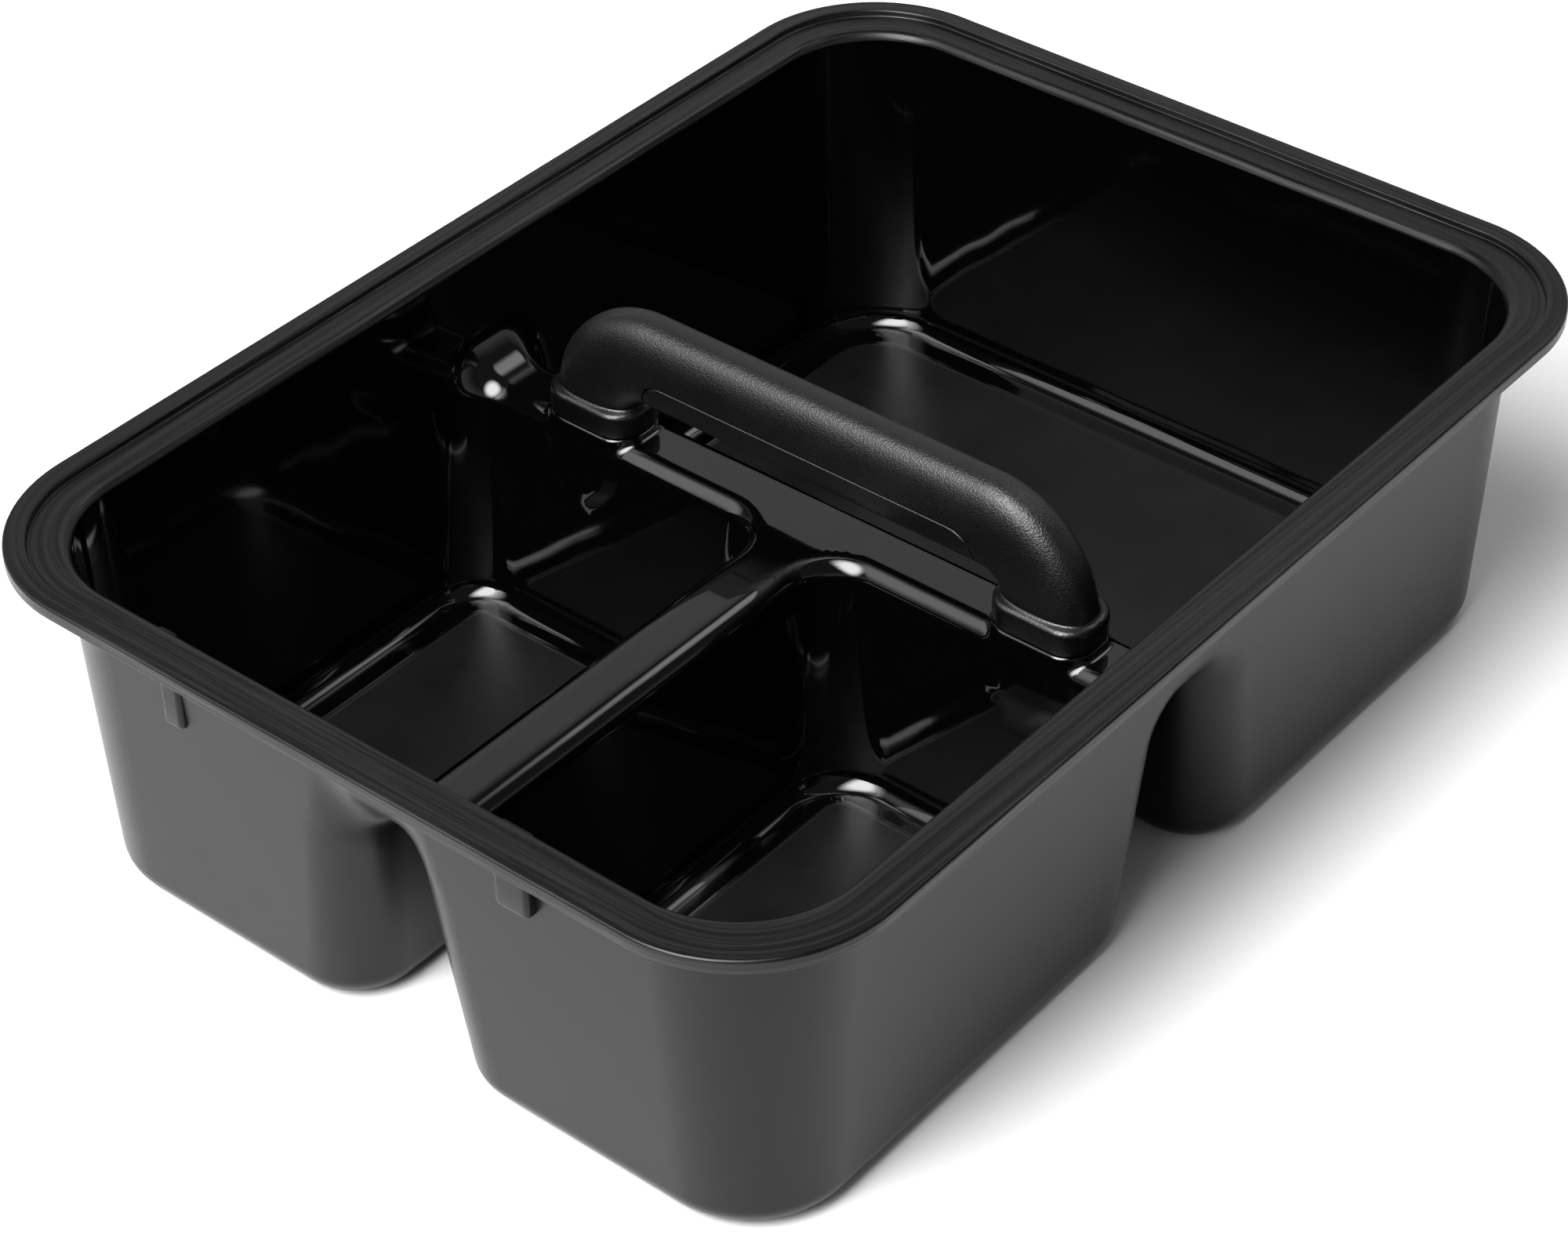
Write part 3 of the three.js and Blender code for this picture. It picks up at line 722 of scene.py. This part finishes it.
def make_collar(name, side):
    places = np.arange(0, 8, 0.08)
    rings = []
    for bulge, rise in collar_section():
        z = FOOT_Z + rise
        half_x, half_y = HANDLE_HALF_X + bulge, HANDLE_HALF_Z + bulge
        plan, _ = on_outline(places, half_x, half_y, COLLAR_CORNER - COLLAR_BULGE + bulge)
        hug = smooth((1.2 - bulge) / 0.8)  # 1 where the ring touches the leg and takes its oval outline
        angle = np.arctan2(plan[:, 1] / half_y, plan[:, 0] / half_x)
        snug = np.column_stack(on_oval(half_x, half_y, angle))
        plan = plan * (1 - hug) + snug * hug
        lean = max(z - BEND_Z, 0) ** 2 / (2 * BEND)
        plan[:, 1] = plan[:, 1] + side * LEG_Y - side * lean * hug
        rings.append(np.column_stack([plan, np.full(len(plan), z)]))
    count = len(places)
    numbers = np.arange(len(rings) * count).reshape(len(rings), count)
    faces = strips([*numbers, numbers[0]], False).tolist()
    mesh = bpy.data.meshes.new(name)
    mesh.from_pydata((np.concatenate(rings) * MM).tolist(), [], faces)
    mesh.polygons.foreach_set("use_smooth", [True] * len(faces))
    piece = bpy.data.objects.new(name, mesh)
    bpy.context.collection.objects.link(piece)
    smooth_more = piece.modifiers.new("smooth", "SUBSURF")
    smooth_more.levels = smooth_more.render_levels = 1
    graph = bpy.context.evaluated_depsgraph_get()
    piece.data = bpy.data.meshes.new_from_object(piece.evaluated_get(graph))
    piece.modifiers.clear()
    return piece


# ---- materials ----


class Nodes:
    """Short hand for building a material's node tree."""

    def __init__(self, name):
        self.material = bpy.data.materials.new(name)
        self.material.use_nodes = True
        self.tree = self.material.node_tree
        self.shader = self.tree.nodes["Principled BSDF"]
        self.place = self.add("ShaderNodeTexCoord").outputs["Object"]

    def add(self, kind, inputs=(), **settings):
        node = self.tree.nodes.new(kind)
        for key, value in settings.items():
            setattr(node, key, value)
        for key, value in dict(inputs).items():
            if isinstance(value, bpy.types.NodeSocket):
                self.tree.links.new(value, node.inputs[key])
            else:
                node.inputs[key].default_value = value
        return node

    def noise(self, scale, detail=2.0, roughness=0.5, stretch=None):
        place = self.place
        if stretch:
            place = self.add("ShaderNodeMapping", {"Vector": place, "Scale": stretch}).outputs["Vector"]
        inputs = {"Vector": place, "Scale": scale, "Detail": detail, "Roughness": roughness}
        return self.add("ShaderNodeTexNoise", inputs).outputs["Fac"]

    def cells(self, scale):
        return self.add("ShaderNodeTexVoronoi", {"Vector": self.place, "Scale": scale}).outputs["Distance"]

    def ramp(self, value, low, high, to_low=0.0, to_high=1.0):
        inputs = {"Value": value, "From Min": low, "From Max": high, "To Min": to_low, "To Max": to_high}
        return self.add("ShaderNodeMapRange", inputs).outputs["Result"]

    def math(self, operation, a, b):
        return self.add("ShaderNodeMath", {0: a, 1: b}, operation=operation).outputs["Value"]

    def mix(self, share, a, b):
        node = self.add("ShaderNodeMix", {"Factor": share, "A": a, "B": b}, data_type="FLOAT")
        return node.outputs["Result"]

    def colour(self, share, a, b):
        """Mix of two colours; the colour sockets of a mix node are numbers 6 and 7, and 2 of the outputs."""
        node = self.add("ShaderNodeMix", {"Factor": share}, data_type="RGBA")
        node.inputs[6].default_value = (*a, 1)
        node.inputs[7].default_value = (*b, 1)
        return node.outputs[2]

    def bump(self, height, distance, strength=1.0, below=None):
        inputs = {"Height": height, "Distance": distance * MM, "Strength": strength}
        if below:
            inputs["Normal"] = below
        return self.add("ShaderNodeBump", inputs).outputs["Normal"]

    def finish(self, **inputs):
        for key, value in inputs.items():
            socket = self.shader.inputs[key.replace("_", " ")]
            if isinstance(value, bpy.types.NodeSocket):
                self.tree.links.new(value, socket)
            else:
                socket.default_value = value
        return self.material


def polished_black():
    """Mirror-bright inside of the tub, with a fine matt grain on the floor panels."""
    n = Nodes("polished_black")
    distance = n.add("ShaderNodeAttribute", attribute_name="panel").outputs["Fac"]
    panel = n.ramp(distance, -0.4, 0.4)
    smears = n.ramp(n.noise(26, 5, 0.6), 0.45, 0.8)
    polish = n.mix(smears, 0.05, 0.085)
    grain = n.noise(1500, 3, 0.6)
    matt = n.ramp(n.noise(60, 3), 0.3, 0.7, 0.36, 0.43)
    specks = n.ramp(n.cells(170), 0.05, 0.11, 0.12, 0.0)
    rough = n.math("ADD", n.mix(panel, polish, matt), n.math("MULTIPLY", specks, 0.5))
    sink = n.bump(n.noise(42, 1, 0.4), 0.22, 1.0)
    edge = n.ramp(distance, -PANEL_EDGE / 2, PANEL_EDGE / 2, 1.0, 0.0)
    step = n.bump(edge, 0.28, 1.0, sink)
    rise = n.math("MULTIPLY", grain, panel)
    normal = n.bump(rise, 0.09, 0.6, step)
    tone = n.colour(panel, (0.0006, 0.0006, 0.0007), (0.0016, 0.0016, 0.0017))
    return n.finish(Base_Color=tone, Roughness=rough, Normal=normal, IOR=1.5)


def rim_satin():
    """Flange top and lip: satin, with faint scuffs that run along it."""
    n = Nodes("rim_satin")
    inset = n.add("ShaderNodeAttribute", attribute_name="inset").outputs["Fac"]
    stretched = n.add("ShaderNodeVectorMath", {0: n.place, 1: (12.0,) * 3}, operation="MULTIPLY")
    across = n.add("ShaderNodeCombineXYZ", {0: n.math("MULTIPLY", inset, 0.45)}).outputs["Vector"]
    along = n.add("ShaderNodeVectorMath", {0: stretched.outputs["Vector"], 1: across}, operation="ADD")
    streaks = n.add("ShaderNodeTexNoise", {"Vector": along.outputs["Vector"], "Scale": 1.5, "Detail": 4.0})
    scuffs = n.ramp(streaks.outputs["Fac"], 0.4, 0.66)
    wear = n.ramp(n.noise(34, 5, 0.6), 0.4, 0.7)
    rough = n.math("ADD", n.mix(wear, 0.27, 0.33), n.math("MULTIPLY", scuffs, 0.1))
    normal = n.bump(n.noise(800, 3), 0.03, 0.5, n.bump(scuffs, 0.08, 0.7))
    tone = n.colour(scuffs, (0.0008, 0.0008, 0.0009), (0.0035, 0.0035, 0.0037))
    shine = n.mix(scuffs, 0.3, 0.46)
    return n.finish(Base_Color=tone, Roughness=rough, Normal=normal, Specular_IOR_Level=shine, IOR=1.45)


def outside_satin():
    """Outside of the tub: even satin charcoal with a fine mould texture."""
    n = Nodes("outside_satin")
    cloud = n.noise(9, 4)
    rough = n.ramp(cloud, 0.3, 0.7, 0.3, 0.36)
    normal = n.bump(n.noise(1100, 2, 0.6), 0.025, 0.5)
    tone = n.colour(cloud, (0.0012, 0.0012, 0.0013), (0.0022, 0.0022, 0.0023))
    return n.finish(Base_Color=tone, Roughness=rough, Normal=normal, IOR=1.3)


def grained(name, tone, rough, depth):
    """Moulded leather-like grain of the handle pieces."""
    n = Nodes(name)
    warp = n.add("ShaderNodeTexNoise", {"Vector": n.place, "Scale": 900.0, "Detail": 2.0})
    bent = n.add("ShaderNodeVectorMath", {0: warp.outputs["Color"], 1: (0.0006,) * 3}, operation="MULTIPLY")
    place = n.add("ShaderNodeVectorMath", {0: n.place, 1: bent.outputs["Vector"]}, operation="ADD")
    cells = n.add("ShaderNodeTexVoronoi", {"Vector": place.outputs["Vector"], "Scale": 1900.0})
    pebble = n.ramp(cells.outputs["Distance"], 0.1, 0.75, 1.0, 0.0)
    fine = n.noise(3800, 2, 0.6)
    normal = n.bump(fine, 0.02, 0.5, n.bump(pebble, depth, 1.0))
    worn = n.ramp(n.noise(70, 4), 0.45, 0.75)
    specks = n.ramp(n.cells(420), 0.03, 0.09, 1.0, 0.0)
    light = tuple(2.2 * c for c in tone)
    colour = n.colour(n.math("MULTIPLY", specks, 0.5), tone, light)
    roughness = n.math("SUBTRACT", n.mix(worn, rough, rough - 0.05), n.math("MULTIPLY", specks, 0.1))
    return n.finish(Base_Color=colour, Roughness=roughness, Normal=normal, IOR=1.5)


def zinc_steel():
    """Zinc-plated screws with fine turned marks."""
    n = Nodes("zinc_steel")
    turned = n.noise(2600, 2, 0.5, (1.0, 1.0, 0.1))
    rough = n.ramp(turned, 0.3, 0.7, 0.26, 0.4)
    tone = n.colour(n.noise(500, 3), (0.52, 0.53, 0.55), (0.66, 0.67, 0.68))
    normal = n.bump(turned, 0.02, 0.5)
    return n.finish(Base_Color=tone, Metallic=1.0, Roughness=rough, Normal=normal)


def pale_floor():
    n = Nodes("pale_floor")
    tone = n.colour(n.noise(3, 2), (0.75, 0.75, 0.75), (0.78, 0.78, 0.78))
    return n.finish(Base_Color=tone, Roughness=0.6)


# ---- stage, in metres ----

FLOOR_REACH = 6.0
FLOOR_GAP = 0.0002  # keeps the floor from touching the undersides


def make_floor():
    mesh = bpy.data.meshes.new("floor")
    corners = [(x * FLOOR_REACH, y * FLOOR_REACH, 0) for x, y in ((-1, -1), (1, -1), (1, 1), (-1, 1))]
    mesh.from_pydata(corners, [], [(0, 1, 2, 3)])
    floor = bpy.data.objects.new("floor", mesh)
    floor.location.z = -FLOOR_GAP
    bpy.context.collection.objects.link(floor)
    mesh.materials.append(pale_floor())


# softboxes: name, direction from the tub, distance, width and height of the box, radiance
SOFTBOXES = (
    ("key", (-0.6, -0.02, 0.8), 1.5, (1.1, 2.2), 20.0),
    ("key_fringe", (-0.5, 0.54, 0.68), 1.6, (1.4, 2.3), 2.7),
    ("far_overhead", (0.6, -0.12, 0.79), 1.6, (0.9, 0.8), 3.4),
    ("back_card", (0.59, 0.5, 0.63), 2.0, (2.4, 1.3), 0.6),
)


FADE_START, FADE_END = 0.35, 1.05  # shares of the way from the middle of a softbox to its edge


def fade_to_edge(light):
    """Brightest in the middle and dark at the edge, as cloth in front of a lamp is."""
    light.use_nodes = True
    tree = light.node_tree
    place = tree.nodes.new("ShaderNodeNewGeometry").outputs["Parametric"]
    centred = tree.nodes.new("ShaderNodeVectorMath")
    centred.operation = "MULTIPLY_ADD"
    centred.inputs[1].default_value = (2, 2, 0)
    centred.inputs[2].default_value = (-1, -1, 0)
    tree.links.new(place, centred.inputs[0])
    length = tree.nodes.new("ShaderNodeVectorMath")
    length.operation = "LENGTH"
    tree.links.new(centred.outputs["Vector"], length.inputs[0])
    fade = tree.nodes.new("ShaderNodeMapRange")
    fade.interpolation_type = "SMOOTHSTEP"
    fade.inputs["From Min"].default_value = FADE_START
    fade.inputs["From Max"].default_value = FADE_END
    fade.inputs["To Min"].default_value = 1
    fade.inputs["To Max"].default_value = 0
    tree.links.new(length.outputs["Value"], fade.inputs["Value"])
    tree.links.new(fade.outputs["Result"], tree.nodes["Emission"].inputs["Strength"])


def softbox(name, direction, distance, size, radiance):
    """A rectangular light that faces the tub, its height running away from the horizon."""
    light = bpy.data.lights.new(name, "AREA")
    light.shape = "RECTANGLE"
    light.size, light.size_y = size
    light.energy = radiance * math.pi * size[0] * size[1]
    fade_to_edge(light)
    lamp = bpy.data.objects.new(name, light)
    lamp.location = Vector(direction).normalized() * distance
    lamp.rotation_euler = (-lamp.location).to_track_quat("-Z", "Y").to_euler()
    lamp.visible_camera = False
    bpy.context.collection.objects.link(lamp)


def make_light():
    """Pale light round the horizon under a dim ceiling, and the softboxes."""
    world = bpy.data.worlds.new("studio")
    world.use_nodes = True
    tree = world.node_tree
    direction = tree.nodes.new("ShaderNodeTexCoord").outputs["Generated"]
    height = tree.nodes.new("ShaderNodeSeparateXYZ")
    tree.links.new(direction, height.inputs["Vector"])
    ramp = tree.nodes.new("ShaderNodeValToRGB")
    ramp.color_ramp.elements[0].position = 0.2
    ramp.color_ramp.elements[0].color = (0.6, 0.6, 0.6, 1)
    ramp.color_ramp.elements[1].position = 0.5
    ramp.color_ramp.elements[1].color = (0.12, 0.12, 0.12, 1)
    tree.links.new(height.outputs["Z"], ramp.inputs["Fac"])
    tree.links.new(ramp.outputs["Color"], tree.nodes["Background"].inputs["Color"])
    bpy.context.scene.world = world
    for row in SOFTBOXES:
        softbox(*row)


def make_camera():
    camera = bpy.data.objects.new("camera", bpy.data.cameras.new("camera"))
    camera.location = (-0.65118, -0.53586, 0.70709)
    camera.rotation_euler = (math.radians(51.75), 0, math.radians(-51.69))
    camera.data.lens = 87.73
    camera.data.sensor_width = 36
    camera.data.shift_x = -0.0615
    camera.data.shift_y = -0.01225
    camera.data.clip_start = 0.05
    bpy.context.collection.objects.link(camera)
    bpy.context.scene.camera = camera


# ---- assembly ----


def fit(piece, material_list, node):
    for material in material_list:
        piece.data.materials.append(material)
    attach(piece, "root")
    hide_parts(node)


make_camera()
make_light()
make_floor()
bpy.context.scene.view_settings.view_transform = "Standard"
handle_grain = grained("handle_grain", (0.0010, 0.0010, 0.0012), 0.4, 0.065)
# The collars take a darker copy of the handle's grain: the darker tone is painted shade, standing in for the
# dark sides of the collars.
collar_painted_shade_grain = grained("collar_painted_shade_grain", (0.0007, 0.0007, 0.0008), 0.34, 0.03)
insert_grain = grained("insert_grain", (0.0008, 0.0008, 0.0009), 0.42, 0.045)
fit(make_tub(), [polished_black(), rim_satin(), outside_satin()], "tub")
fit(make_handle_body(), [handle_grain], "handle_body")
fit(make_insert(), [insert_grain], "grip_insert")
fit(make_collar("near_collar_ring", -1), [collar_painted_shade_grain], "collar_near")
fit(make_collar("far_collar_ring", 1), [collar_painted_shade_grain], "collar_far")
steel = zinc_steel()
for place in ("near_outer", "near_inner", "far_inner", "far_outer"):
    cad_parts[f"screw_{place}"].material_slots[0].material = steel
